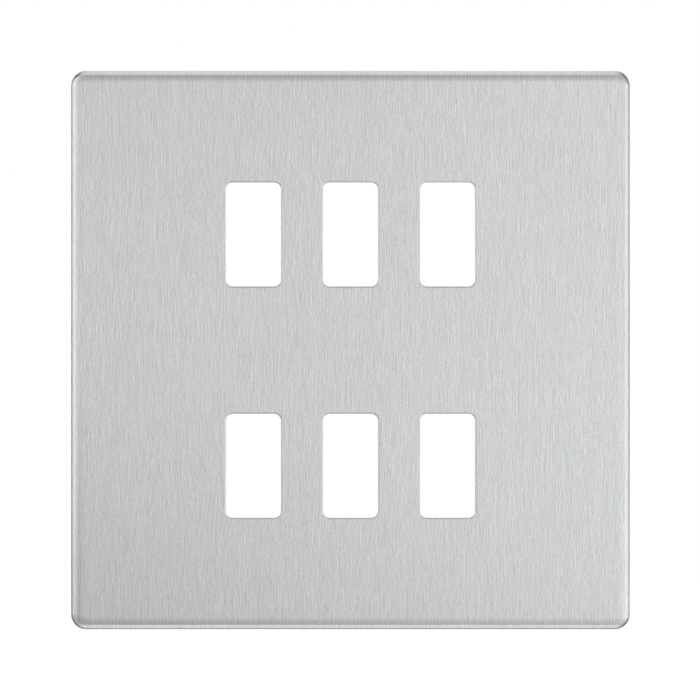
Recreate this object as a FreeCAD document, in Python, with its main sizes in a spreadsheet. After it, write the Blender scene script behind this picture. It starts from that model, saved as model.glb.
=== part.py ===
# Screwless grid switch plate: a pressed steel front plate with a grid of module apertures,
# the moulded clip frame bonded inside it, and the earth spring staked to that frame.
#
# Frame: X to the right and Z up as the plate hangs on the wall, Y into the wall.
# The origin is the middle of the plate on the wall plane, so the front faces -Y.
# A depth is a distance in front of the wall plane, towards -Y.

import FreeCAD
import Part
import Sketcher

import math
import os

# Alias, value (millimetres, or a count) and meaning of each driving dimension.
SIZES = [
    ("plate_width", 146.0, "front plate, along X"),
    ("plate_height", 146.0, "front plate, along Z"),
    ("plate_depth", 5.0, "wall plane to front face"),
    ("corner_radius", 4.0, "corners of the plate's outline"),
    ("edge_radius", 3.2, "rolled edge between front face and rim, outside"),
    ("sheet_thickness", 0.8, "steel sheet"),
    ("columns", 3, "apertures along X"),
    ("rows", 2, "apertures along Z"),
    ("column_pitch", 25.3, "aperture centres along X"),
    ("row_pitch", 60.3, "aperture centres along Z"),
    ("aperture_width", 14.4, "clear opening along X"),
    ("aperture_height", 27.1, "clear opening along Z"),
    ("aperture_corner", 1.8, "corners of the aperture"),
    ("aperture_break", 0.4, "front edge drawn in by the punch, across"),
    ("aperture_draw", 0.2, "front edge drawn in by the punch, deep"),
    ("notch_width", 12.0, "prising notch in the lower rim, along X"),
    ("notch_depth", 1.2, "prising notch, forward from the wall plane"),
    ("frame_clearance", 0.2, "clip frame to rim, all round"),
    ("frame_setback", 0.5, "wall plane to the clip frame's back edge"),
    ("frame_web", 1.0, "clip frame's panel behind the sheet"),
    ("frame_wall", 1.2, "clip frame's wall inside the rim"),
    ("frame_corner", 1.8, "inside corners of the clip frame's wall"),
    ("window_margin", 0.4, "clip frame's window beyond the aperture, each side"),
    ("collar_wall", 1.0, "collar round each window"),
    ("collar_height", 0.9, "collar above the panel"),
    ("rib_thickness", 1.0, "stiffening ribs"),
    ("rib_height", 0.7, "ribs above the panel"),
    ("rib_offset", 6.0, "outer collars to the ribs beside them"),
    ("clip_length", 16.0, "snap clip, root included"),
    ("clip_root", 3.0, "block that joins the clip to the wall"),
    ("clip_thickness", 1.2, "clip's spring beam"),
    ("clip_gap", 1.4, "room behind the beam to bend"),
    ("clip_slot", 0.5, "slot in the panel beyond the clip"),
    ("bead_height", 0.7, "snap bead above the beam"),
    ("bead_length", 6.0, "snap bead along the beam"),
    ("bead_lead", 1.0, "sloped lead-in of the bead"),
    ("bead_catch", 0.6, "steeper catching side of the bead"),
    ("spring_width", 5.0, "earth spring's strip, along X"),
    ("spring_thickness", 0.3, "earth spring's strip"),
    ("spring_bend", 0.6, "bends of the strip, at its middle"),
    ("spring_margin", 0.4, "panel's window round the spring's foot"),
    ("spring_foot", 6.0, "foot that presses on the sheet"),
    ("spring_seat", 7.0, "seat that is staked to the panel"),
    ("spring_arm", 8.0, "sprung arm, along Z"),
    ("spring_lift", 0.35, "arm above the panel where it starts"),
    ("spring_rise", 1.25, "panel to the top of the free arm"),
    ("spring_tip", 1.5, "turned-down tip, along Z"),
    ("spring_tip_drop", 0.6, "turned-down tip, towards the panel"),
    ("stake_radius", 1.0, "post through the seat"),
    ("stake_head_radius", 1.8, "formed head of the post"),
    ("stake_head_height", 0.5, "formed head of the post"),
    ("stake_clearance", 0.1, "seat's hole round the post"),
    ("stake_gap", 0.05, "head above the seat"),
]

LEAST_CORNER = 0.4

# Sizes and places that several features share, as expressions over the sheet.
# The rolled edge keeps inside the outline's corner, so that the flat face has a corner too.
ROLL_RADIUS = f"min(sizes.edge_radius; sizes.corner_radius - {LEAST_CORNER})"
SHEET_BACK = "(sizes.plate_depth - sizes.sheet_thickness)"
WEB_BACK = f"({SHEET_BACK} - sizes.frame_web)"
FRAME_INSET = "(sizes.sheet_thickness + sizes.frame_clearance)"
WALL_INSET = f"({FRAME_INSET} + sizes.frame_wall)"
INNER_HALF_WIDTH = f"(sizes.plate_width / 2 - {WALL_INSET})"
INNER_HALF_HEIGHT = f"(sizes.plate_height / 2 - {WALL_INSET})"
HALF_COLUMNS = "(sizes.column_pitch * (sizes.columns - 1) / 2)"
HALF_ROWS = "(sizes.row_pitch * (sizes.rows - 1) / 2)"
COLLAR_REACH = "(sizes.window_margin + sizes.collar_wall)"
RIB_COLUMN = f"({HALF_COLUMNS} + sizes.aperture_width / 2 + {COLLAR_REACH} + sizes.rib_offset)"
RIB_ROW = f"({HALF_ROWS} + sizes.aperture_height / 2 + {COLLAR_REACH} + sizes.rib_offset)"
FOOT_END = "(sizes.spring_foot / 2)"
SEAT_START = f"({FOOT_END} + sizes.frame_web)"
STAKE_PLACE = f"({SEAT_START} + sizes.spring_seat / 2)"
SEAT_BACK = f"({WEB_BACK} - sizes.spring_thickness)"

SAME_PLANE = 1e-6


def make_sizes(doc):
    sheet = doc.addObject("Spreadsheet::Sheet", "sizes")
    for row, (alias, value, meaning) in enumerate(SIZES, start=1):
        sheet.set(f"A{row}", alias)
        sheet.set(f"B{row}", str(value))
        sheet.setAlias(f"B{row}", alias)
        sheet.set(f"C{row}", meaning)
    doc.recompute()


def new_body(doc, label):
    body = doc.addObject("PartDesign::Body", label)
    body.Label = label
    body.Placement = FreeCAD.Placement()
    return body


def origin_feature(body, role):
    return next(feature for feature in body.Origin.OriginFeatures if feature.Role == role)


# A sketch on XZ_Plane is drawn in X and Z, its normal is -Y, and its offset is a depth.
# A sketch on XY_Plane is drawn in X and Y, and one on YZ_Plane in Y and Z.
def new_sketch(body, name, plane, offset="0", centre=("0", "0")):
    sketch = body.newObject("Sketcher::SketchObject", name)
    sketch.AttachmentSupport = [(origin_feature(body, plane), "")]
    sketch.MapMode = "FlatFace"
    for axis, place in zip("xyz", (*centre, offset)):
        sketch.setExpression(f"AttachmentOffset.Base.{axis}", place)
    return sketch


def point_at(sketch, corner):
    across, up = corner
    return FreeCAD.Vector(sketch.evalExpression(across), sketch.evalExpression(up), 0)


def add_size(sketch, kind, places, size):
    value = sketch.evalExpression(size)
    index = sketch.addConstraint(Sketcher.Constraint(kind, *places, value))
    sketch.setExpression(f"Constraints[{index}]", size)


# Holds one point of the sketch's geometry at a pair of distances from the sketch's origin.
def hold_point(sketch, geometry, end, corner):
    across, up = corner
    add_size(sketch, "DistanceX", (-1, 1, geometry, end), across)
    add_size(sketch, "DistanceY", (-1, 1, geometry, end), up)


# Closed outline with straight sides through the given corners.
def add_outline(sketch, corners):
    points = [point_at(sketch, corner) for corner in corners]
    first = sketch.GeometryCount
    for start, end in zip(points, points[1:] + points[:1]):
        sketch.addGeometry(Part.LineSegment(start, end))
    for index, corner in enumerate(corners):
        following = first + (index + 1) % len(corners)
        sketch.addConstraint(Sketcher.Constraint("Coincident", first + index, 2, following, 1))
        hold_point(sketch, first + index, 1, corner)


def add_rectangle(sketch, low, high):
    (left, bottom), (right, top) = low, high
    add_outline(sketch, [(left, bottom), (right, bottom), (right, top), (left, top)])


# Rectangle about the sketch's origin: four corner arcs, then the four sides that join them.
def add_rounded_rectangle(sketch, width, height, radius):
    corner = sketch.evalExpression(radius)
    reach_x = sketch.evalExpression(width) / 2 - corner
    reach_y = sketch.evalExpression(height) / 2 - corner
    first = sketch.GeometryCount
    arcs = []
    for quarter, (side_x, side_y) in enumerate([(1, 1), (-1, 1), (-1, -1), (1, -1)]):
        centre = FreeCAD.Vector(side_x * reach_x, side_y * reach_y, 0)
        circle = Part.Circle(centre, FreeCAD.Vector(0, 0, 1), corner)
        arcs.append(Part.ArcOfCircle(circle, quarter * math.pi / 2, (quarter + 1) * math.pi / 2))
        sketch.addGeometry(arcs[-1])
    for arc, following in zip(arcs, arcs[1:] + arcs[:1]):
        sketch.addGeometry(Part.LineSegment(arc.EndPoint, following.StartPoint))
    for quarter in range(4):
        arc = first + quarter
        side = first + 4 + quarter
        following = first + (quarter + 1) % 4
        sketch.addConstraint(Sketcher.Constraint("Tangent", arc, 2, side, 1))
        sketch.addConstraint(Sketcher.Constraint("Tangent", side, 2, following, 1))
        sketch.addConstraint(Sketcher.Constraint("Vertical" if quarter % 2 else "Horizontal", side))
        if quarter:
            sketch.addConstraint(Sketcher.Constraint("Equal", first, arc))
    sketch.addConstraint(Sketcher.Constraint("Symmetric", first, 3, first + 2, 3, -1, 1))
    add_size(sketch, "Radius", (first,), radius)
    add_size(sketch, "DistanceX", (first + 5, 1, first + 7, 1), width)
    add_size(sketch, "DistanceY", (first + 6, 1, first + 4, 1), height)


# Open path of straight runs through the corners, joined by tangent arcs of one radius.
def add_bent_path(sketch, corners, radius):
    points = [point_at(sketch, corner) for corner in corners]
    bend = sketch.evalExpression(radius)
    starts = [points[0]]
    ends = []
    arcs = []
    for before, corner, after in zip(points, points[1:], points[2:]):
        arriving = (corner - before).normalize()
        leaving = (after - corner).normalize()
        turn = math.atan2(arriving.cross(leaving).z, arriving.dot(leaving))
        inset = bend * math.tan(abs(turn) / 2)
        ends.append(corner - arriving * inset)
        starts.append(corner + leaving * inset)
        to_left = math.copysign(1, turn)
        centre = ends[-1] + FreeCAD.Vector(-arriving.y, arriving.x, 0) * bend * to_left
        first_spoke, last_spoke = (ends[-1] - centre, starts[-1] - centre)[::int(to_left)]
        circle = Part.Circle(centre, FreeCAD.Vector(0, 0, 1), bend)
        angles = [math.atan2(spoke.y, spoke.x) for spoke in (first_spoke, last_spoke)]
        arcs.append((Part.ArcOfCircle(circle, *angles), to_left > 0))
    ends.append(points[-1])

    for start, end in zip(starts, ends):
        sketch.addGeometry(Part.LineSegment(start, end))
    hold_point(sketch, 0, 1, corners[0])
    hold_point(sketch, len(ends) - 1, 2, corners[-1])
    for run, (arc, turns_left) in enumerate(arcs):
        curve = sketch.addGeometry(arc)
        near, far = (1, 2) if turns_left else (2, 1)
        sketch.addConstraint(Sketcher.Constraint("Tangent", run, 2, curve, near))
        sketch.addConstraint(Sketcher.Constraint("Tangent", curve, far, run + 1, 1))
        add_size(sketch, "Radius", (curve,), radius)
        corner = sketch.addGeometry(Part.Point(points[run + 1]), True)
        hold_point(sketch, corner, 1, corners[run + 1])
        sketch.addConstraint(Sketcher.Constraint("PointOnObject", corner, 1, run))
        sketch.addConstraint(Sketcher.Constraint("PointOnObject", corner, 1, run + 1))


# Adds material from the sketch along its normal, or against it where backwards is true.
def add_pad(body, name, sketch, length, backwards=False):
    pad = body.newObject("PartDesign::Pad", name)
    pad.Profile = sketch
    pad.Reversed = backwards
    pad.setExpression("Length", length)
    return pad


# Cuts against the sketch's normal, or along it where backwards is true. No length cuts through all.
def add_pocket(body, name, sketch, length=None, backwards=False):
    pocket = body.newObject("PartDesign::Pocket", name)
    pocket.Profile = sketch
    pocket.Reversed = backwards
    if length is None:
        pocket.Type = "ThroughAll"
    else:
        pocket.setExpression("Length", length)
    return pocket


def add_fillet(body, name, base, edges, radius):
    fillet = body.newObject("PartDesign::Fillet", name)
    fillet.Base = (base, edges)
    fillet.setExpression("Radius", radius)
    return fillet


# Repeats features through each of the steps in turn.
def add_repeats(body, name, features, steps):
    repeats = body.newObject("PartDesign::MultiTransform", name)
    repeats.Originals = features
    repeats.Transformations = steps
    body.Tip = repeats
    return repeats


# Repeats a feature at every aperture, from the first one at the lower left.
def add_grid(body, name, feature, sketch):
    steps = []
    for axis, count, pitch in (("H_Axis", "columns", "column_pitch"), ("V_Axis", "rows", "row_pitch")):
        step = body.newObject("PartDesign::LinearPattern", f"{name}_{count}")
        step.Direction = (sketch, [axis])
        step.Mode = "Spacing"
        step.setExpression("Occurrences", f"sizes.{count}")
        step.setExpression("Offset", f"sizes.{pitch}")
        steps.append(step)
    return add_repeats(body, name, [feature], steps)


# Mirrors features from the upper right quarter into the other three.
def add_quarters(body, name, features):
    mirrors = []
    for plane in ("XY_Plane", "YZ_Plane"):
        mirror = body.newObject("PartDesign::Mirrored", f"{name}_{plane[:2].lower()}")
        mirror.MirrorPlane = (origin_feature(body, plane), [""])
        mirrors.append(mirror)
    return add_repeats(body, name, features, mirrors)


# Names of the edges that lie flat at a depth, within a half width and a half height of the middle.
def edges_at_depth(feature, depth, within):
    level = -feature.evalExpression(depth)
    reach_x, reach_z = (feature.evalExpression(reach) for reach in within)
    names = []
    for number, edge in enumerate(feature.Shape.Edges, start=1):
        box = edge.BoundBox
        flat = abs(box.YMin - level) < SAME_PLANE and abs(box.YMax - level) < SAME_PLANE
        if flat and abs(box.Center.x) < reach_x and abs(box.Center.z) < reach_z:
            names.append(f"Edge{number}")
    return names


def face_at_wall(feature):
    for number, face in enumerate(feature.Shape.Faces, start=1):
        if abs(face.BoundBox.YMin) < SAME_PLANE:
            return f"Face{number}"


WHOLE_PLATE = ("sizes.plate_width", "sizes.plate_height")
APERTURE_FIELD = ("sizes.column_pitch * sizes.columns / 2", "sizes.row_pitch * sizes.rows / 2")
FIRST_APERTURE = (f"-{HALF_COLUMNS}", f"-{HALF_ROWS}")


# Pressed sheet: a rounded blank, rolled over at the front edge and hollow towards the wall.
def make_front_plate(doc):
    body = new_body(doc, "front_plate")

    outline = new_sketch(body, "plate_outline", "XZ_Plane")
    add_rounded_rectangle(outline, "sizes.plate_width", "sizes.plate_height", "sizes.corner_radius")
    blank = add_pad(body, "plate_blank", outline, "sizes.plate_depth")
    doc.recompute()
    front_edges = edges_at_depth(blank, "sizes.plate_depth", WHOLE_PLATE)
    rolled = add_fillet(body, "rolled_edge", blank, front_edges, ROLL_RADIUS)
    doc.recompute()
    sheet = body.newObject("PartDesign::Thickness", "pressed_sheet")
    sheet.Base = (rolled, [face_at_wall(rolled)])
    sheet.Reversed = True
    sheet.setExpression("Value", "sizes.sheet_thickness")

    punch = new_sketch(body, "aperture_outline", "XZ_Plane", "sizes.plate_depth", FIRST_APERTURE)
    add_rounded_rectangle(punch, "sizes.aperture_width", "sizes.aperture_height", "sizes.aperture_corner")
    apertures = add_grid(body, "apertures", add_pocket(body, "first_aperture", punch), punch)
    doc.recompute()
    rims = edges_at_depth(apertures, "sizes.plate_depth", APERTURE_FIELD)
    drawn_edges = body.newObject("PartDesign::Chamfer", "drawn_edges")
    drawn_edges.Base = (apertures, rims)
    drawn_edges.ChamferType = "Two distances"
    drawn_edges.setExpression("Size", "sizes.aperture_break")
    drawn_edges.setExpression("Size2", "sizes.aperture_draw")

    notch = new_sketch(body, "notch_outline", "XZ_Plane")
    add_rectangle(
        notch,
        ("-sizes.notch_width / 2", "-sizes.plate_height / 2 - sizes.sheet_thickness"),
        ("sizes.notch_width / 2", "-sizes.plate_height / 2 + 2 * sizes.sheet_thickness"),
    )
    add_pocket(body, "prising_notch", notch, "sizes.notch_depth", backwards=True)
    return body


# One snap clip on the wall inside the plate's right side, or its top where along_top is true:
# a slot in the panel, a beam over it that is rooted in the wall, and a bead at the beam's free end.
def add_clip(body, name, along_top, wall, middle):
    def in_panel(reach, along):
        return (along, reach) if along_top else (reach, along)

    def in_section(reach, depth):
        return (f"-({depth})", reach) if along_top else (reach, f"-({depth})")

    free_end = f"({middle} - sizes.clip_length / 2)"
    root_end = f"({middle} + sizes.clip_length / 2)"
    beam_back = f"({wall} - sizes.clip_gap)"
    beam_face = f"({beam_back} - sizes.clip_thickness)"
    in_wall = f"({wall} + sizes.frame_wall / 2)"
    bead_top = f"({beam_face} - sizes.bead_height)"
    in_beam = f"({beam_face} + sizes.clip_thickness / 2)"

    slot = new_sketch(body, f"{name}_slot_outline", "XZ_Plane", WEB_BACK)
    add_rectangle(
        slot,
        in_panel(f"{bead_top} - sizes.clip_slot", f"{free_end} - sizes.clip_slot"),
        in_panel(wall, f"{root_end} - sizes.clip_root"),
    )
    slot_cut = add_pocket(body, f"{name}_slot", slot, "sizes.frame_web", backwards=True)

    beam = new_sketch(body, f"{name}_beam_outline", "XZ_Plane", "sizes.frame_setback")
    add_outline(
        beam,
        [
            in_panel(in_wall, root_end),
            in_panel(beam_face, root_end),
            in_panel(beam_face, free_end),
            in_panel(beam_back, free_end),
            in_panel(beam_back, f"{root_end} - sizes.clip_root"),
            in_panel(in_wall, f"{root_end} - sizes.clip_root"),
        ],
    )
    beam_pad = add_pad(body, f"{name}_beam", beam, f"{WEB_BACK} - sizes.frame_setback")

    plane = "YZ_Plane" if along_top else "XY_Plane"
    bead = new_sketch(body, f"{name}_bead_outline", plane, free_end)
    lead_end = "sizes.frame_setback + sizes.bead_lead"
    add_outline(
        bead,
        [
            in_section(in_beam, "sizes.frame_setback"),
            in_section(beam_face, "sizes.frame_setback"),
            in_section(bead_top, lead_end),
            in_section(beam_face, f"{lead_end} + sizes.bead_catch"),
            in_section(in_beam, f"{lead_end} + sizes.bead_catch"),
        ],
    )
    bead_pad = add_pad(body, f"{name}_bead", bead, "sizes.bead_length")
    add_quarters(body, f"{name}s", [slot_cut, beam_pad, bead_pad])


def add_ribs(body):
    half = "sizes.rib_thickness / 2"
    upright = new_sketch(body, "upright_ribs_outline", "XZ_Plane", WEB_BACK)
    level = new_sketch(body, "level_ribs_outline", "XZ_Plane", WEB_BACK)
    for side in ("-", ""):
        add_rectangle(
            upright,
            (f"{side}{RIB_COLUMN} - {half}", f"-{INNER_HALF_HEIGHT}"),
            (f"{side}{RIB_COLUMN} + {half}", INNER_HALF_HEIGHT),
        )
        add_rectangle(
            level,
            (f"-{INNER_HALF_WIDTH}", f"{side}{RIB_ROW} - {half}"),
            (INNER_HALF_WIDTH, f"{side}{RIB_ROW} + {half}"),
        )
        add_rectangle(
            level,
            (f"{side}{RIB_COLUMN}", f"-{half}"),
            (f"{side}{INNER_HALF_WIDTH}", half),
        )
    add_pad(body, "upright_ribs", upright, "sizes.rib_height", backwards=True)
    add_pad(body, "level_ribs", level, "sizes.rib_height", backwards=True)


# Post with a formed head that holds the earth spring's seat to the panel.
def add_stake(body):
    under_head = f"{SEAT_BACK} - sizes.stake_gap"
    top = f"{under_head} - sizes.stake_head_height"
    profile = new_sketch(body, "stake_profile", "YZ_Plane")
    add_outline(
        profile,
        [
            (f"-{WEB_BACK}", STAKE_PLACE),
            (f"-{WEB_BACK}", f"{STAKE_PLACE} + sizes.stake_radius"),
            (f"-({under_head})", f"{STAKE_PLACE} + sizes.stake_radius"),
            (f"-({under_head})", f"{STAKE_PLACE} + sizes.stake_head_radius"),
            (f"-({top})", f"{STAKE_PLACE} + sizes.stake_radius"),
            (f"-({top})", STAKE_PLACE),
        ],
    )
    stake = body.newObject("PartDesign::Revolution", "stake")
    stake.Profile = profile
    stake.ReferenceAxis = (profile, [f"Edge{profile.GeometryCount}"])


# Moulded insert: a panel on the back of the sheet, a wall inside the rim, and what holds the plate on.
def make_clip_frame(doc):
    body = new_body(doc, "clip_frame")

    outline = new_sketch(body, "frame_outline", "XZ_Plane", "sizes.frame_setback")
    add_rounded_rectangle(
        outline,
        f"sizes.plate_width - 2 * {FRAME_INSET}",
        f"sizes.plate_height - 2 * {FRAME_INSET}",
        f"sizes.corner_radius - {FRAME_INSET}",
    )
    blank = add_pad(body, "frame_blank", outline, f"{SHEET_BACK} - sizes.frame_setback")
    doc.recompute()
    front_edges = edges_at_depth(blank, SHEET_BACK, WHOLE_PLATE)
    add_fillet(body, "frame_edge", blank, front_edges, f"{ROLL_RADIUS} - {FRAME_INSET}")

    hollow = new_sketch(body, "hollow_outline", "XZ_Plane", "sizes.frame_setback")
    add_rounded_rectangle(
        hollow,
        f"2 * {INNER_HALF_WIDTH}",
        f"2 * {INNER_HALF_HEIGHT}",
        "sizes.frame_corner",
    )
    add_pocket(body, "hollow", hollow, f"{WEB_BACK} - sizes.frame_setback", backwards=True)
    add_ribs(body)

    collar = new_sketch(body, "collar_outline", "XZ_Plane", WEB_BACK, FIRST_APERTURE)
    add_rounded_rectangle(
        collar,
        f"sizes.aperture_width + 2 * {COLLAR_REACH}",
        f"sizes.aperture_height + 2 * {COLLAR_REACH}",
        f"sizes.aperture_corner + {COLLAR_REACH}",
    )
    first_collar = add_pad(body, "first_collar", collar, "sizes.collar_height", backwards=True)
    add_grid(body, "collars", first_collar, collar)
    window = new_sketch(body, "window_outline", "XZ_Plane", SHEET_BACK, FIRST_APERTURE)
    add_rounded_rectangle(
        window,
        "sizes.aperture_width + 2 * sizes.window_margin",
        "sizes.aperture_height + 2 * sizes.window_margin",
        "sizes.aperture_corner + sizes.window_margin",
    )
    add_grid(body, "windows", add_pocket(body, "first_window", window), window)

    add_clip(body, "side_clip", False, INNER_HALF_WIDTH, HALF_ROWS)
    add_clip(body, "top_clip", True, INNER_HALF_HEIGHT, HALF_COLUMNS)

    foot_hole = new_sketch(body, "foot_hole_outline", "XZ_Plane", WEB_BACK)
    across = "(sizes.spring_width / 2 + sizes.spring_margin)"
    up = f"({SEAT_START} + sizes.spring_margin)"
    add_rectangle(foot_hole, (f"-{across}", f"-{up}"), (across, up))
    add_pocket(body, "foot_hole", foot_hole, "sizes.frame_web", backwards=True)
    add_stake(body)
    return body


# Bent strip: its seat lies on the panel under the stake, its foot reaches through the panel to
# the sheet, and its arm stands off the panel to touch the metal frame that the plate clips to.
def make_earth_spring(doc):
    body = new_body(doc, "earth_spring")
    half = "sizes.spring_thickness / 2"
    on_panel = f"({WEB_BACK} - {half})"
    on_sheet = f"({SHEET_BACK} - {half})"
    arm_top = f"({WEB_BACK} - sizes.spring_rise + {half})"
    arm_start = f"({SEAT_START} + sizes.spring_lift)"
    seat_end = f"({SEAT_START} + sizes.spring_seat)"

    path = new_sketch(body, "strip_path", "YZ_Plane")
    add_bent_path(
        path,
        [
            (f"-{on_panel}", seat_end),
            (f"-{on_panel}", SEAT_START),
            (f"-{on_sheet}", FOOT_END),
            (f"-{on_sheet}", f"-{FOOT_END}"),
            (f"-({on_panel} - sizes.spring_lift)", f"-{arm_start}"),
            (f"-{arm_top}", f"-({arm_start} + sizes.spring_arm)"),
            (
                f"-({arm_top} + sizes.spring_tip_drop)",
                f"-({arm_start} + sizes.spring_arm + sizes.spring_tip)",
            ),
        ],
        "sizes.spring_bend",
    )
    section = new_sketch(body, "strip_section", "XY_Plane", seat_end)
    add_rectangle(
        section,
        ("-sizes.spring_width / 2", f"-{WEB_BACK}"),
        ("sizes.spring_width / 2", f"-{SEAT_BACK}"),
    )
    strip = body.newObject("PartDesign::AdditivePipe", "strip")
    strip.Profile = section
    strip.Spine = (path, [])
    strip.Mode = "Binormal"
    strip.Binormal = FreeCAD.Vector(1, 0, 0)

    hole = new_sketch(body, "stake_hole_outline", "XZ_Plane", centre=("0", STAKE_PLACE))
    circle = hole.addGeometry(Part.Circle())
    hole.addConstraint(Sketcher.Constraint("Coincident", circle, 3, -1, 1))
    add_size(hole, "Radius", (circle,), "sizes.stake_radius + sizes.stake_clearance")
    add_pocket(body, "stake_hole", hole, backwards=True)
    return body


def check(doc, bodies):
    for thing in doc.Objects:
        if {"Invalid", "Error"} & set(thing.State):
            raise RuntimeError(f"{thing.Label} did not compute: {thing.State}")
    for body in bodies:
        shape = body.Shape
        if shape.isNull() or not shape.isValid() or len(shape.Solids) != 1:
            raise RuntimeError(f"{body.Label} is not one sound solid")


def main():
    doc = FreeCAD.newDocument("grid_switch_plate")
    make_sizes(doc)
    bodies = [make_front_plate(doc), make_clip_frame(doc), make_earth_spring(doc)]
    doc.recompute()
    check(doc, bodies)
    os.makedirs("parts", exist_ok=True)
    for body in bodies:
        body.Shape.exportStep(f"parts/{body.Label}.step")
        print(f"{body.Label}: {body.Shape.Volume:.1f} mm3")


main()
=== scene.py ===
import math
from types import SimpleNamespace

import bmesh
import bpy
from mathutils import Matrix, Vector


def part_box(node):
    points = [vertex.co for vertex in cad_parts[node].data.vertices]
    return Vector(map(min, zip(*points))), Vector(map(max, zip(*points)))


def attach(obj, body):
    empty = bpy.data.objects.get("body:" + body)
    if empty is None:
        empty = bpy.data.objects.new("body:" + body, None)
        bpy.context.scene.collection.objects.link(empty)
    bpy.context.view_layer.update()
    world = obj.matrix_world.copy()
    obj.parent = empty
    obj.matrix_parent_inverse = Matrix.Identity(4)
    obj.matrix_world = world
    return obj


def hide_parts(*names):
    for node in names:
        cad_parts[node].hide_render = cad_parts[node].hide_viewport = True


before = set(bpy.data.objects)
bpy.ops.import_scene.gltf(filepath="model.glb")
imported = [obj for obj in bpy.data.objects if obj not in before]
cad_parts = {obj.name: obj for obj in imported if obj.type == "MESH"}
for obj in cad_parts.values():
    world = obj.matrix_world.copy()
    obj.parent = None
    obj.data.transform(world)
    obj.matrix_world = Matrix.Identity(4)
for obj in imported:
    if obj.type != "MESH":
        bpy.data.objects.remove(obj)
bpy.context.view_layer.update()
print("frame loaded:", ", ".join(sorted(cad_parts)))

bpy.context.scene.view_settings.view_transform = "Standard"
millimetre = 0.001
white = (1.0, 1.0, 1.0, 1.0)


# small helpers

def linkObject(name, data):
    thing = bpy.data.objects.new(name, data)
    bpy.context.scene.collection.objects.link(thing)
    return thing


def freshMaterial(name):
    material = bpy.data.materials.new(name)
    material.use_nodes = True
    tree = material.node_tree
    tree.nodes.clear()
    out = tree.nodes.new("ShaderNodeOutputMaterial")
    return material, tree, out


def addNode(tree, kind, **settings):
    node = tree.nodes.new(kind)
    for name, value in settings.items():
        setattr(node, name, value)
    return node


def calculate(tree, operation, first, second):
    # a sum, product or the like of two sockets or plain numbers
    node = addNode(tree, "ShaderNodeMath", operation=operation)
    for socket, value in zip(node.inputs, (first, second)):
        if isinstance(value, (int, float)):
            socket.default_value = value
        else:
            tree.links.new(value, socket)
    return node.outputs["Value"]


def inMillimetres(tree, place, unit=1.0):
    # a place in millimetres, where one unit of the socket stands for that many metres
    scale = addNode(tree, "ShaderNodeVectorMath", operation="SCALE")
    scale.inputs["Scale"].default_value = unit / millimetre
    tree.links.new(place, scale.inputs[0])
    return scale.outputs["Vector"]


noiseSpread = (1.0, 1.7, 0.6)    # how a noise's shift is shared between the axes


def stretchedNoise(tree, place, size, shift, detail=0.0):
    # noise whose blots measure size along each axis, in the units of place
    mapping = addNode(tree, "ShaderNodeMapping")
    mapping.inputs["Scale"].default_value = [1.0 / length for length in size]
    mapping.inputs["Location"].default_value = [share * shift for share in noiseSpread]
    tree.links.new(place, mapping.inputs["Vector"])
    noise = addNode(tree, "ShaderNodeTexNoise")
    noise.inputs["Scale"].default_value = 1.0
    noise.inputs["Detail"].default_value = detail
    tree.links.new(mapping.outputs["Vector"], noise.inputs["Vector"])
    return noise.outputs["Fac"]


def weighted(tree, noises, weights):
    # the sum of noises, each about zero and times its weight
    total = 0.0
    for noise, weight in zip(noises, weights):
        centred = calculate(tree, "SUBTRACT", noise, 0.5)
        total = calculate(tree, "ADD", calculate(tree, "MULTIPLY", centred, weight), total)
    return total


def tinted(tree, colour, amount):
    # the colour made lighter and darker by amount, which is about zero
    mix = addNode(tree, "ShaderNodeMix", data_type="RGBA", blend_type="MULTIPLY")
    mix.inputs["Factor"].default_value = 1.0
    mix.inputs["A"].default_value = (*colour, 1.0)
    tree.links.new(calculate(tree, "ADD", amount, 1.0), mix.inputs["B"])
    return mix.outputs["Result"]


def bumped(tree, height, depth):
    bump = addNode(tree, "ShaderNodeBump")
    bump.inputs["Strength"].default_value = 1.0
    bump.inputs["Distance"].default_value = depth
    tree.links.new(height, bump.inputs["Height"])
    return bump.outputs["Normal"]


# finishes

steel = {
    "colour": (0.573, 0.586, 0.586),
    "roughness": 0.40,
    "anisotropy": 0.75,
    "roughnessSpread": 0.10,
    # brushing marks, partly the steel's real grain in roughness and bump and partly painted reflection
    # streaks in the colour: width and length in millimetres, and how far each set lightens or darkens
    "marks": (
        (0.24, 9.0, 0.27),
        (0.24, 2.6, 0.30),
        (0.24, 0.8, 0.26),
        (0.24, 0.3, 0.41),
        (0.24, 28.0, 0.09),
    ),
    "marksShift": 11.0,         # from one set's noise to the next
    "flank": 0.26,              # millimetres from a mark's bright flank to its dark one, a painted highlight beside a painted shade in the colour
    "darkFlank": 0.4,           # how strong the dark flank, painted shade in the colour, is beside the bright one
    "clouds": (3.0, 40.0, 0.04),
    "cloudsShift": 5.0,
    "markDepth": 0.0000012,
}


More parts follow.
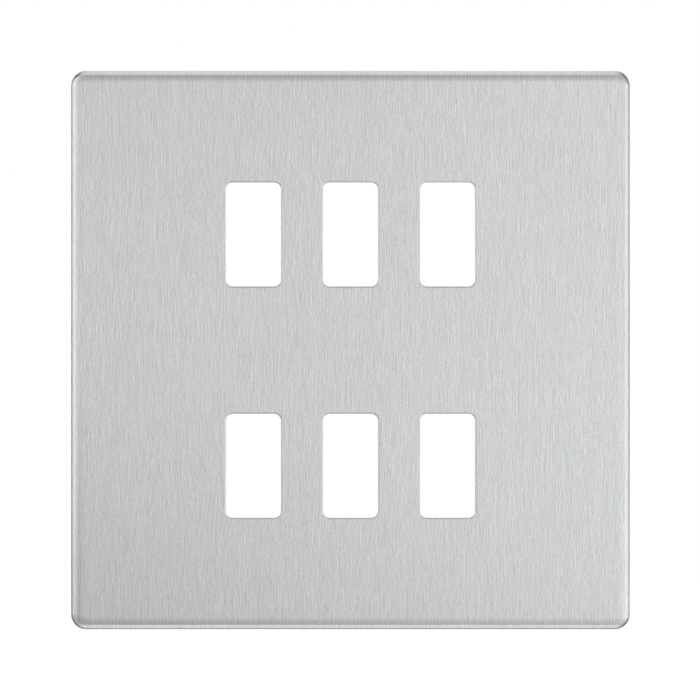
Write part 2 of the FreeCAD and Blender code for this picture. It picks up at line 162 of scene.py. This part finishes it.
def brushedSteel(uvName, uvSpan):
    material, tree, out = freshMaterial("brushedSteel")
    sheet = addNode(tree, "ShaderNodeUVMap", uv_map=uvName)
    place = inMillimetres(tree, sheet.outputs["UV"], uvSpan)
    beside = addNode(tree, "ShaderNodeVectorMath", operation="ADD")
    beside.inputs[1].default_value = (steel["flank"], 0.0, 0.0)
    tree.links.new(place, beside.inputs[0])
    flanks = ((place, 1.0), (beside.outputs["Vector"], -steel["darkFlank"]))
    width, length, weight = steel["clouds"]
    noises = [stretchedNoise(tree, place, (width, length, 1.0), steel["cloudsShift"])]
    weights = [weight]
    for count, (width, length, weight) in enumerate(steel["marks"]):
        shift = steel["marksShift"] * count
        for flank, sign in flanks:
            noises.append(stretchedNoise(tree, flank, (width, length, 1.0), shift))
            weights.append(sign * weight)
    brushingAndPaintedSheen = weighted(tree, noises, weights)
    across = addNode(tree, "ShaderNodeTangent", direction_type="UV_MAP", uv_map=uvName)
    shader = addNode(tree, "ShaderNodeBsdfPrincipled")
    shader.inputs["Metallic"].default_value = 1.0
    shader.inputs["Anisotropic"].default_value = steel["anisotropy"]
    spread = calculate(tree, "MULTIPLY", brushingAndPaintedSheen, steel["roughnessSpread"])
    tree.links.new(calculate(tree, "ADD", spread, steel["roughness"]), shader.inputs["Roughness"])
    # the brushing also lightens and darkens the base colour: painted reflection streaks, each with a
    # painted highlight flank and a painted shade flank, while in roughness and bump it is real grain
    tree.links.new(tinted(tree, steel["colour"], brushingAndPaintedSheen), shader.inputs["Base Color"])
    tree.links.new(bumped(tree, brushingAndPaintedSheen, steel["markDepth"]), shader.inputs["Normal"])
    tree.links.new(across.outputs["Tangent"], shader.inputs["Tangent"])
    tree.links.new(shader.outputs["BSDF"], out.inputs["Surface"])
    return material


millSteel = {
    "colour": (0.50, 0.51, 0.51),
    "roughness": 0.36,
    "anisotropy": 0.3,
    "marks": ((0.5, 9.0, 0.20), (2.0, 2.0, 0.16)),    # as for the brushed steel
    "marksShift": 7.0,
    "marksDetail": 2.0,
}


def rolledSteel(uvName, uvSpan):
    material, tree, out = freshMaterial("rolledSteel")
    sheet = addNode(tree, "ShaderNodeUVMap", uv_map=uvName)
    place = inMillimetres(tree, sheet.outputs["UV"], uvSpan)
    noises = []
    for count, (width, length, weight) in enumerate(millSteel["marks"]):
        shift = millSteel["marksShift"] * count
        noises.append(stretchedNoise(tree, place, (width, length, 1.0), shift, millSteel["marksDetail"]))
    mottle = weighted(tree, noises, [weight for width, length, weight in millSteel["marks"]])
    shader = addNode(tree, "ShaderNodeBsdfPrincipled")
    shader.inputs["Metallic"].default_value = 1.0
    shader.inputs["Anisotropic"].default_value = millSteel["anisotropy"]
    tree.links.new(calculate(tree, "ADD", mottle, millSteel["roughness"]), shader.inputs["Roughness"])
    tree.links.new(tinted(tree, millSteel["colour"], mottle), shader.inputs["Base Color"])
    tree.links.new(shader.outputs["BSDF"], out.inputs["Surface"])
    return material


moulding = {
    "colour": (0.026, 0.026, 0.028),
    "roughness": 0.42,
    "sparkSize": 0.16,          # millimetres between the pits of the mould's spark texture
    "sparkNoise": (3.0, 2.0),   # where the noise starts, and its detail
    "sparkDepth": 0.000012,
    "flowSize": 14.0,           # millimetres, faint clouds from the way the melt ran
    "flowNoise": (5.0, 3.0),
    "shading": (0.5, 0.3),      # how far spark and flow change the colour
    "dulling": (0.14, 0.12),    # how far they change the roughness
}


def blackMoulding():
    material, tree, out = freshMaterial("blackMoulding")
    where = addNode(tree, "ShaderNodeTexCoord")
    place = inMillimetres(tree, where.outputs["Object"])
    spark = stretchedNoise(tree, place, [moulding["sparkSize"]] * 3, *moulding["sparkNoise"])
    flow = stretchedNoise(tree, place, [moulding["flowSize"]] * 3, *moulding["flowNoise"])
    shading = weighted(tree, (spark, flow), moulding["shading"])
    dull = weighted(tree, (spark, flow), moulding["dulling"])
    shader = addNode(tree, "ShaderNodeBsdfPrincipled")
    tree.links.new(calculate(tree, "ADD", dull, moulding["roughness"]), shader.inputs["Roughness"])
    tree.links.new(tinted(tree, moulding["colour"], shading), shader.inputs["Base Color"])
    tree.links.new(bumped(tree, spark, moulding["sparkDepth"]), shader.inputs["Normal"])
    tree.links.new(shader.outputs["BSDF"], out.inputs["Surface"])
    return material


bronze = {
    "colour": (0.70, 0.44, 0.23),
    "roughness": 0.30,
    "rollMarks": (0.12, 0.6, 9.0),    # millimetres, lines left along the strip by rolling
    "rollNoise": (2.0, 0.0),          # where the noise starts, and its detail
    "tarnishSize": 7.0,
    "tarnishNoise": (9.0, 2.0),
    "shading": (0.16, 0.22),          # how far lines and tarnish change the colour
    "dulling": (0.12, -0.12),         # how far they change the roughness
}


def springBronze():
    material, tree, out = freshMaterial("springBronze")
    where = addNode(tree, "ShaderNodeTexCoord")
    place = inMillimetres(tree, where.outputs["Object"])
    lines = stretchedNoise(tree, place, bronze["rollMarks"], *bronze["rollNoise"])
    tarnish = stretchedNoise(tree, place, [bronze["tarnishSize"]] * 3, *bronze["tarnishNoise"])
    shading = weighted(tree, (lines, tarnish), bronze["shading"])
    dull = weighted(tree, (lines, tarnish), bronze["dulling"])
    shader = addNode(tree, "ShaderNodeBsdfPrincipled")
    shader.inputs["Metallic"].default_value = 1.0
    tree.links.new(calculate(tree, "ADD", dull, bronze["roughness"]), shader.inputs["Roughness"])
    tree.links.new(tinted(tree, bronze["colour"], shading), shader.inputs["Base Color"])
    tree.links.new(shader.outputs["BSDF"], out.inputs["Surface"])
    return material


# the pressed plate, in the CAD node's form

pressedPlate = {
    "cornerRadius": 0.004,      # the outline's corners, at the rim
    "rollRadius": 0.0032,       # outside of the bend from the face into the rim
    "sheet": 0.0008,
    "columns": (-0.0253, 0.0, 0.0253),
    "rows": (-0.03015, 0.03015),
    "aperture": (0.0144, 0.0271),
    "apertureCorner": 0.0018,
    # edge that the punch draws in round each aperture: (inwards, down) from the face
    "punchRoll": ((0.00004, 0.000006), (0.00034, 0.000165), (0.00038, 0.00020), (0.00040, 0.00025)),
    "notch": (0.012, 0.0012),   # width and depth of the prising notch in the lower rim
    "cornerSteps": 14,
    "rollSteps": 14,
    "apertureSteps": 8,
    "sharpAngle": math.radians(35),
    "uvName": "sheet",
    "uvSpan": 0.16,             # length of sheet that one unit of the unfolded map stands for
}
stepsPerMetre = 1e8             # places that round to the same step are one vertex
nearlyNothing = 1e-9
brushed, rolled = 0, 1          # the plate's finishes, as numbers of its materials


class SheetMesh:
    # vertices are shared by place, and each carries its place on the unfolded sheet
    def __init__(self):
        self.mesh = bmesh.new()
        self.corners = {}
        self.unfolded = {}

    def point(self, x, depth, z, flat):
        key = tuple(round(length * stepsPerMetre) for length in (x, depth, z))
        if key not in self.corners:
            self.corners[key] = self.mesh.verts.new((x, -depth, z))
            self.unfolded[self.corners[key]] = flat
        return self.corners[key]

    def face(self, points, finish):
        face = self.mesh.faces.new(points)
        face.smooth = True
        face.material_index = finish

    def ring(self, outer, inner, finish):
        count = len(outer)
        for index in range(count):
            after = (index + 1) % count
            self.face((outer[index], outer[after], inner[after], inner[index]), finish)


def roundedLoop(centre, half, radius, crossings, steps):
    # (x, z, outward x, outward z) round a rounded rectangle, anticlockwise as the room sees it
    flatX = half[0] - radius
    flatZ = half[1] - radius
    alongX = [x for x in crossings[0] if abs(x - centre[0]) < flatX - nearlyNothing]
    alongZ = [z for z in crossings[1] if abs(z - centre[1]) < flatZ - nearlyNothing]
    sides = (
        [(centre[0] + half[0], z, 1.0, 0.0) for z in alongZ],
        [(x, centre[1] + half[1], 0.0, 1.0) for x in reversed(alongX)],
        [(centre[0] - half[0], z, -1.0, 0.0) for z in reversed(alongZ)],
        [(x, centre[1] - half[1], 0.0, -1.0) for x in alongX],
    )
    pivots = ((1, 1), (-1, 1), (-1, -1), (1, -1))
    loop = []
    for quarter, (side, (signX, signZ)) in enumerate(zip(sides, pivots)):
        loop += side
        for step in range(steps + 1):
            angle = math.pi / 2 * (quarter + step / steps)
            outX, outZ = math.cos(angle), math.sin(angle)
            x = centre[0] + signX * flatX + radius * outX
            z = centre[1] + signZ * flatZ + radius * outZ
            loop.append((x, z, outX, outZ))
    return loop


def setLoop(sheet, loop, reach, depth, travel=0.0):
    # the loop moved outwards by reach and set at a depth
    # travel is how far the sheet has gone past its flat outline
    placed = []
    for x, z, outX, outZ in loop:
        flat = (x + outX * travel, z + outZ * travel)
        placed.append(sheet.point(x + outX * reach, depth, z + outZ * reach, flat))
    return placed


def plateLayout():
    # the flat face, the apertures where they meet it, and the lines that both share
    sizes = pressedPlate
    low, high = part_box("front_plate")
    depth = high.y - low.y
    roll = sizes["rollRadius"]
    flatHalf = ((high.x - low.x) / 2 - roll, (high.z - low.z) / 2 - roll)
    flatRadius = sizes["cornerRadius"] - roll
    punch = sizes["punchRoll"][-1][0]
    holeHalf = [length / 2 + punch for length in sizes["aperture"]]
    holeCorner = sizes["apertureCorner"] + punch
    lines = []
    for axis, centres in enumerate((sizes["columns"], sizes["rows"])):
        places = [flatHalf[axis], flatHalf[axis] - flatRadius]
        places += [-place for place in places]
        for centre in centres:
            for reach in (holeHalf[axis], holeHalf[axis] - holeCorner):
                places += [centre - reach, centre + reach]
        lines.append(sorted(places))
    holes = {}
    for row in sizes["rows"]:
        for column in sizes["columns"]:
            centre = (column, row)
            holes[centre] = roundedLoop(centre, holeHalf, holeCorner, ((), ()), sizes["apertureSteps"])
    return SimpleNamespace(
        depth=depth,
        sheetBack=depth - sizes["sheet"],
        roll=roll,
        innerRoll=roll - sizes["sheet"],
        rimHeight=depth - roll,
        flatHalf=flatHalf,
        flatRadius=flatRadius,
        flatLoop=roundedLoop((0.0, 0.0), flatHalf, flatRadius, lines, sizes["cornerSteps"]),
        lines=lines,
        punch=punch,
        holeHalf=holeHalf,
        holeCorner=holeCorner,
        holes=holes,
    )


def roundedCorner(layout, square):
    # whether a square of the flat face lies in an aperture, and where a corner crosses it,
    # the loop that bends there and the square's corner that the fan spreads from
    left, right, low, high = square
    x, z = (left + right) / 2, (low + high) / 2
    inside, loop, hub = False, None, None
    for centre, hole in layout.holes.items():
        awayX, awayZ = abs(x - centre[0]), abs(z - centre[1])
        if awayX > layout.holeHalf[0] or awayZ > layout.holeHalf[1]:
            continue
        inside = True
        if all(away > half - layout.holeCorner for away, half in zip((awayX, awayZ), layout.holeHalf)):
            loop = hole
            hub = (right if x > centre[0] else left, high if z > centre[1] else low)
    if all(abs(place) > half - layout.flatRadius for place, half in zip((x, z), layout.flatHalf)):
        loop = layout.flatLoop
        hub = (left if x > 0 else right, low if z > 0 else high)
    return inside, loop, hub


def fillFlat(sheet, layout, depth, finish):
    # quads between the lines, fans at rounded corners, and nothing inside the apertures
    def at(x, z):
        return sheet.point(x, depth, z, (x, z))

    def within(place, start, end):
        return start - nearlyNothing <= place <= end + nearlyNothing

    linesX, linesZ = layout.lines
    for left, right in zip(linesX, linesX[1:]):
        for low, high in zip(linesZ, linesZ[1:]):
            inside, loop, hub = roundedCorner(layout, (left, right, low, high))
            if loop:
                bend = [
                    at(x, z) for x, z, outX, outZ in loop
                    if within(x, left, right) and within(z, low, high)
                ]
                for first, second in zip(bend, bend[1:]):
                    sheet.face((at(*hub), first, second), finish)
            elif not inside:
                sheet.face((at(left, low), at(right, low), at(right, high), at(left, high)), finish)


def bendEdge(sheet, layout, radius, steps, finish):
    # the quarter turn from the flat face to where the rim begins
    previous = None
    for step in range(steps + 1):
        angle = math.pi / 2 * step / steps
        level = layout.rimHeight + radius * math.cos(angle)
        placed = setLoop(sheet, layout.flatLoop, radius * math.sin(angle), level, radius * angle)
        if previous:
            sheet.ring(previous, placed, finish)
        previous = placed
    return previous


def makeRim(sheet, layout):
    # rolled edge, rim walls and back edge, apart from the lower side's middle, where the notch is
    steps = pressedPlate["rollSteps"]
    outerTop = bendEdge(sheet, layout, layout.roll, steps, brushed)
    innerTop = bendEdge(sheet, layout, layout.innerRoll, steps // 2, rolled)
    outerBack, innerBack = [
        setLoop(sheet, layout.flatLoop, radius, 0.0, radius * math.pi / 2 + layout.rimHeight)
        for radius in (layout.roll, layout.innerRoll)
    ]
    notchHalf = pressedPlate["notch"][0] / 2
    count = len(layout.flatLoop)
    for index in range(count):
        after = (index + 1) % count
        ends = (layout.flatLoop[index], layout.flatLoop[after])
        lowSide = all(outZ == -1.0 for x, z, outX, outZ in ends)
        if lowSide and min(abs(end[0]) for end in ends) < notchHalf:
            continue
        sheet.face((outerTop[index], outerTop[after], outerBack[after], outerBack[index]), brushed)
        sheet.face((innerTop[index], innerTop[after], innerBack[after], innerBack[index]), rolled)
        sheet.face((outerBack[index], outerBack[after], innerBack[after], innerBack[index]), rolled)
    outer = (layout.roll, outerTop, outerBack, brushed)
    inner = (layout.innerRoll, innerTop, innerBack, rolled)
    return outer, inner


def cutNotch(sheet, layout, outer, inner):
    # the rim round the prising notch; outer and inner are (reach, top loop, back loop, finish)
    width, roofLevel = pressedPlate["notch"]
    notchHalf = width / 2

    def notchPoint(side, level, reach):
        x = side * notchHalf
        z = -layout.flatHalf[1] - reach
        return sheet.point(x, level, z, (x, z - layout.rimHeight + level))

    nearest = [
        index for index, (x, z, outX, outZ) in enumerate(layout.flatLoop)
        if outZ == -1.0 and abs(x) < 2 * notchHalf
    ]
    nearest.sort(key=lambda index: layout.flatLoop[index][0])
    farLeft, left, right, farRight = nearest
    for reach, top, back, finish in (outer, inner):
        for near, far, side in ((left, farLeft, -1), (right, farRight, 1)):
            roofCorner = notchPoint(side, roofLevel, reach)
            backCorner = notchPoint(side, 0.0, reach)
            sheet.face((top[near], top[far], back[far], backCorner, roofCorner), finish)
        roof = [notchPoint(side, roofLevel, reach) for side in (-1, 1)]
        sheet.face((top[left], top[right], roof[1], roof[0]), finish)

    outerReach, innerReach = outer[0], inner[0]
    outerBack, innerBack = outer[2], inner[2]
    wallOutline = ((0.0, outerReach), (roofLevel, outerReach), (roofLevel, innerReach), (0.0, innerReach))
    for side, far in ((-1, farLeft), (1, farRight)):
        wall = [notchPoint(side, level, reach) for level, reach in wallOutline]
        sheet.face(wall, rolled)
        sheet.face((wall[0], outerBack[far], innerBack[far], wall[3]), rolled)
    roofOutline = ((-1, outerReach), (1, outerReach), (1, innerReach), (-1, innerReach))
    sheet.face([notchPoint(side, roofLevel, reach) for side, reach in roofOutline], rolled)


def edgeApertures(sheet, layout):
    # each aperture's drawn-in edge, cut wall and back edge
    punch = layout.punch
    for hole in layout.holes.values():
        previous = setLoop(sheet, hole, 0.0, layout.depth)
        for inwards, down in pressedPlate["punchRoll"]:
            placed = setLoop(sheet, hole, -inwards, layout.depth - down, -inwards)
            sheet.ring(previous, placed, brushed)
            previous = placed
        cutBack = setLoop(sheet, hole, -punch, layout.sheetBack, -punch - pressedPlate["sheet"])
        sheet.ring(previous, cutBack, rolled)
        backEdge = setLoop(sheet, hole, 0.0, layout.sheetBack)
        sheet.ring(cutBack, backEdge, rolled)


def unfoldSheet(sheet):
    # the map that the finishes follow, and the edges that stay sharp
    sizes = pressedPlate
    bmesh.ops.recalc_face_normals(sheet.mesh, faces=sheet.mesh.faces)
    for edge in sheet.mesh.edges:
        edge.smooth = edge.calc_face_angle(0.0) < sizes["sharpAngle"]
    layer = sheet.mesh.loops.layers.uv.new(sizes["uvName"])
    for face in sheet.mesh.faces:
        for corner in face.loops:
            flat = sheet.unfolded[corner.vert]
            corner[layer].uv = [0.5 + place / sizes["uvSpan"] for place in flat]
    openEdges = [edge for edge in sheet.mesh.edges if len(edge.link_faces) != 2]
    print("pressed plate:", len(sheet.mesh.faces), "faces,", len(openEdges), "open edges")


def makePressedPlate():
    layout = plateLayout()
    sheet = SheetMesh()
    fillFlat(sheet, layout, layout.depth, brushed)
    fillFlat(sheet, layout, layout.sheetBack, rolled)
    outer, inner = makeRim(sheet, layout)
    cutNotch(sheet, layout, outer, inner)
    edgeApertures(sheet, layout)
    unfoldSheet(sheet)

    mesh = bpy.data.meshes.new("pressedPlate")
    sheet.mesh.to_mesh(mesh)
    sheet.mesh.free()
    for finish in (brushedSteel, rolledSteel):
        mesh.materials.append(finish(pressedPlate["uvName"], pressedPlate["uvSpan"]))
    plate = linkObject("pressedPlate", mesh)
    even = plate.modifiers.new("flat faces stay flat", "WEIGHTED_NORMAL")
    even.keep_sharp = True
    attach(plate, "root")
    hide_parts("front_plate")


# the moulding and the spring keep their CAD solids, with soft edges and their own finish

softEdges = {
    "widths": {"clip_frame": 0.00012, "earth_spring": 0.00004},
    "segments": 2,
    "leastAngle": math.radians(40),    # flatter edges stay as they are
    "weld": 0.000002,
}


def dressNode(name, material):
    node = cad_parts[name]
    node.data.materials.clear()
    node.data.materials.append(material)
    weld = node.modifiers.new("joined corners", "WELD")
    weld.merge_threshold = softEdges["weld"]
    edge = node.modifiers.new("rounded edges", "BEVEL")
    edge.width = softEdges["widths"][name]
    edge.segments = softEdges["segments"]
    edge.limit_method = "ANGLE"
    edge.angle_limit = softEdges["leastAngle"]
    edge.harden_normals = False
    node.data.polygons.foreach_set("use_smooth", [True] * len(node.data.polygons))
    even = node.modifiers.new("flat faces stay flat", "WEIGHTED_NORMAL")
    even.keep_sharp = False
    print(name, "dressed with", material.name)


# round marks that the mould's ejector pins leave on the panel's back

ejectorMarks = {
    "panelBack": 0.0032,        # the panel's back in front of the wall plane
    "places": ((0.057, 0.061), (0.055, 0.0255), (0.0, 0.0605), (0.01265, 0.03015)),
    "sides": 32,
    # (radius, height over the panel) from the part sunk in the panel to the flat top
    "profile": ((0.0025, -0.00005), (0.0025, 0.00002), (0.0023, 0.00012)),
}


def addEjectorMark(mesh, x, z):
    sides = ejectorMarks["sides"]
    rings = []
    for radius, height in ejectorMarks["profile"]:
        level = height - ejectorMarks["panelBack"]
        ring = []
        for side in range(sides):
            angle = 2 * math.pi * side / sides
            ring.append(mesh.verts.new((x + radius * math.cos(angle), level, z + radius * math.sin(angle))))
        rings.append(ring)
    for lower, upper in zip(rings, rings[1:]):
        for side in range(sides):
            after = (side + 1) % sides
            mesh.faces.new((lower[side], lower[after], upper[after], upper[side]))
    mesh.faces.new(rings[0])
    mesh.faces.new(rings[-1])


def makeEjectorMarks(material):
    signs = ((-1, -1), (-1, 1), (1, -1), (1, 1))
    centres = {(signX * x, signZ * z) for x, z in ejectorMarks["places"] for signX, signZ in signs}
    mesh = bmesh.new()
    for x, z in sorted(centres):
        addEjectorMark(mesh, x, z)
    bmesh.ops.recalc_face_normals(mesh, faces=mesh.faces)
    data = bpy.data.meshes.new("ejectorMarks")
    mesh.to_mesh(data)
    mesh.free()
    data.materials.append(material)
    piece = linkObject("ejectorMarks", data)
    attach(piece, "root")
    print("ejector marks:", len(centres))


# studio: floor, white surroundings, lamps and cards that the metal mirrors

studio = {
    "floorDrop": 0.30,          # floor below the plate's middle, clear of the plate as it hangs
    "floorHalf": 4.0,
    "floorColour": (0.86, 0.86, 0.86),
    "floorLift": 0.65,          # added for rays that see the floor as background
    "ambient": 0.55,            # white surroundings as a light on dull surfaces
}

# name: (place, looks at, width, height, watts)
lamps = {
    "leftSoftbox": ((-0.72, 0.07, 0.35), (0.0, 0.0, 0.35), 0.36, 0.9, 1.42),
    "rightSoftbox": ((0.72, 0.07, -0.22), (0.0, 0.0, -0.22), 0.36, 0.9, 1.33),
    "rightFrontSoftbox": ((0.15, -0.30, -0.12), (0.0, 0.0, -0.12), 0.12, 0.6, 0.12),
    "topSoftbox": ((0.0, 0.25, 0.9), (0.0, 0.0, 0.0), 0.9, 0.6, 0.3),
    "backSoftbox": ((0.42, 0.84, 0.26), (0.0, 0.0, 0.0), 0.5, 0.5, 2.2),
}

# cards that only the metal's reflections see
# name: (place, looks at, width, height, brightness at the lower and upper edge,
#        how much brighter it gets to its right)
cards = {
    "upperCard": ((0.0, -0.235, 0.30), (0.0, 0.0, 0.073), 0.9, 0.44, 0.98, 0.49, 0.30),
    "lowerCard": ((0.0, -0.1475, -0.1785), (0.0, -0.0135, -0.030), 0.9, 0.27, 0.60, 0.94, 0.90),
    "leftEdgeCard": ((-0.0909, 0.0224, 0.0), (-0.073, 0.0, 0.0), 0.043, 0.19, 0.0, 0.0, 0.0),
    "rightEdgeCard": ((0.0909, 0.0224, 0.0), (0.073, 0.0, 0.0), 0.043, 0.19, 0.0, 0.0, 0.0),
    "leftLowCard": ((-0.22, -0.30, -0.17), (0.0, 0.0, -0.10), 0.26, 0.24, 0.45, 0.45, 0.0),
    "topEdgeCard": ((0.0, 0.15, 0.22), (0.0, 0.0, 0.073), 0.5, 0.14, 1.05, 1.05, 0.0),
    "lowEdgeCard": ((0.0, 0.15, -0.22), (0.0, 0.0, -0.073), 0.5, 0.14, 0.55, 0.55, 0.0),
}

# a black card outside each corner of the plate
cornerCards = {
    "out": 0.0894,              # along X and Z from the plate's middle
    "behind": 0.0143,
    "looksAt": 0.072,           # along X and Z
    "side": 0.0243,
}
for row, signZ in (("upper", 1), ("lower", -1)):
    for column, signX in (("Left", -1), ("Right", 1)):
        out, target = cornerCards["out"], cornerCards["looksAt"]
        cards[row + column + "Corner"] = (
            (signX * out, cornerCards["behind"], signZ * out),
            (signX * target, 0.0, signZ * target),
            cornerCards["side"], cornerCards["side"], 0.0, 0.0, 0.0,
        )
cardHiddenFrom = ("camera", "diffuse", "transmission", "shadow", "volume_scatter")


def aim(thing, place, target):
    thing.location = place
    thing.rotation_euler = (Vector(target) - Vector(place)).to_track_quat("-Z", "Y").to_euler()


def backgroundRays(tree):
    # 1 where a ray sees the background: straight, in a mirror or through something clear
    path = addNode(tree, "ShaderNodeLightPath")
    seen = calculate(tree, "MAXIMUM", path.outputs["Is Camera Ray"], path.outputs["Is Glossy Ray"])
    return calculate(tree, "MAXIMUM", seen, path.outputs["Is Transmission Ray"])


def makeSurroundings():
    world = bpy.data.worlds.new("whiteSurroundings")
    bpy.context.scene.world = world
    world.use_nodes = True
    tree = world.node_tree
    tree.nodes.clear()
    out = addNode(tree, "ShaderNodeOutputWorld")
    light = addNode(tree, "ShaderNodeBackground")
    light.inputs["Strength"].default_value = studio["ambient"]
    backdrop = addNode(tree, "ShaderNodeBackground")
    mix = addNode(tree, "ShaderNodeMixShader")
    for shader in (light, backdrop):
        shader.inputs["Color"].default_value = white
    tree.links.new(backgroundRays(tree), mix.inputs[0])
    tree.links.new(light.outputs["Background"], mix.inputs[1])
    tree.links.new(backdrop.outputs["Background"], mix.inputs[2])
    tree.links.new(mix.outputs["Shader"], out.inputs["Surface"])


def flatPanel(name, corners):
    mesh = bpy.data.meshes.new(name)
    mesh.from_pydata(corners, [], [list(range(len(corners)))])
    return mesh


def makeFloor():
    reach = studio["floorHalf"]
    drop = -studio["floorDrop"]
    corners = [(-reach, -reach, drop), (reach, -reach, drop), (reach, reach, drop), (-reach, reach, drop)]
    mesh = flatPanel("floor", corners)
    material, tree, out = freshMaterial("paleFloor")
    paint = addNode(tree, "ShaderNodeBsdfDiffuse")
    paint.inputs["Color"].default_value = (*studio["floorColour"], 1.0)
    lift = addNode(tree, "ShaderNodeEmission")
    lifted = calculate(tree, "MULTIPLY", backgroundRays(tree), studio["floorLift"])
    tree.links.new(lifted, lift.inputs["Strength"])
    both = addNode(tree, "ShaderNodeAddShader")
    tree.links.new(paint.outputs["BSDF"], both.inputs[0])
    tree.links.new(lift.outputs["Emission"], both.inputs[1])
    # clear from below, so that the floor hides nothing there
    side = addNode(tree, "ShaderNodeNewGeometry")
    clear = addNode(tree, "ShaderNodeBsdfTransparent")
    surface = addNode(tree, "ShaderNodeMixShader")
    tree.links.new(side.outputs["Backfacing"], surface.inputs[0])
    tree.links.new(both.outputs["Shader"], surface.inputs[1])
    tree.links.new(clear.outputs["BSDF"], surface.inputs[2])
    tree.links.new(surface.outputs["Shader"], out.inputs["Surface"])
    mesh.materials.append(material)
    linkObject("floor", mesh)


def makeLamps():
    for name, (place, target, width, height, watts) in lamps.items():
        light = bpy.data.lights.new(name, "AREA")
        light.shape = "RECTANGLE"
        light.size = width
        light.size_y = height
        light.energy = watts
        lamp = linkObject(name, light)
        lamp.visible_camera = False
        aim(lamp, place, target)


def cardPaper(name, lowTone, highTone, lean):
    # a glow that changes evenly from the lower edge to the upper one and from left to right
    material, tree, out = freshMaterial(name)
    where = addNode(tree, "ShaderNodeTexCoord")
    share = addNode(tree, "ShaderNodeSeparateXYZ")
    tree.links.new(where.outputs["Generated"], share.inputs["Vector"])
    rise = calculate(tree, "MULTIPLY", share.outputs["Y"], highTone - lowTone)
    tone = calculate(tree, "ADD", rise, lowTone)
    slope = calculate(tree, "MULTIPLY", share.outputs["X"], 2.0 * lean)
    tone = calculate(tree, "MULTIPLY", tone, calculate(tree, "ADD", slope, 1.0 - lean))
    grey = addNode(tree, "ShaderNodeEmission")
    tree.links.new(tone, grey.inputs["Strength"])
    tree.links.new(grey.outputs["Emission"], out.inputs["Surface"])
    return material


def makeCards():
    for name, (place, target, width, height, *tones) in cards.items():
        across, up = width / 2, height / 2
        mesh = flatPanel(name, [(-across, -up, 0), (across, -up, 0), (across, up, 0), (-across, up, 0)])
        mesh.materials.append(cardPaper(name, *tones))
        card = linkObject(name, mesh)
        aim(card, place, target)
        for ray in cardHiddenFrom:
            setattr(card, "visible_" + ray, False)


# camera square-on, as in the photograph

view = {
    "pixels": 700,
    "plateLeft": 70.9,          # the plate's edges in the photograph
    "plateRight": 629.97,
    "plateTop": 71.09,
    "plateBottom": 629.18,
    "lens": 200.0,
    "sensor": 36.0,
}


def makeCamera():
    low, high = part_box("front_plate")
    widest = low.y + pressedPlate["rollRadius"]
    scaleX = (high.x - low.x) / (view["plateRight"] - view["plateLeft"])
    scaleZ = (high.z - low.z) / (view["plateBottom"] - view["plateTop"])
    metresPerPixel = (scaleX + scaleZ) / 2
    distance = metresPerPixel * view["pixels"] * view["lens"] / view["sensor"]
    middle = view["pixels"] / 2
    offsetX = (view["plateLeft"] + view["plateRight"]) / 2 - middle
    offsetZ = (view["plateTop"] + view["plateBottom"]) / 2 - middle
    data = bpy.data.cameras.new("squareOn")
    data.lens = view["lens"]
    data.sensor_width = view["sensor"]
    camera = linkObject("squareOn", data)
    camera.location = (-offsetX * metresPerPixel, widest - distance, offsetZ * metresPerPixel)
    camera.rotation_euler = (math.pi / 2, 0.0, 0.0)
    bpy.context.scene.camera = camera
    print("camera at", [round(value, 4) for value in camera.location])


makePressedPlate()
blackPlastic = blackMoulding()
dressNode("clip_frame", blackPlastic)
makeEjectorMarks(blackPlastic)
dressNode("earth_spring", springBronze())
makeSurroundings()
makeFloor()
makeLamps()
makeCards()
makeCamera()
print("studio ready")
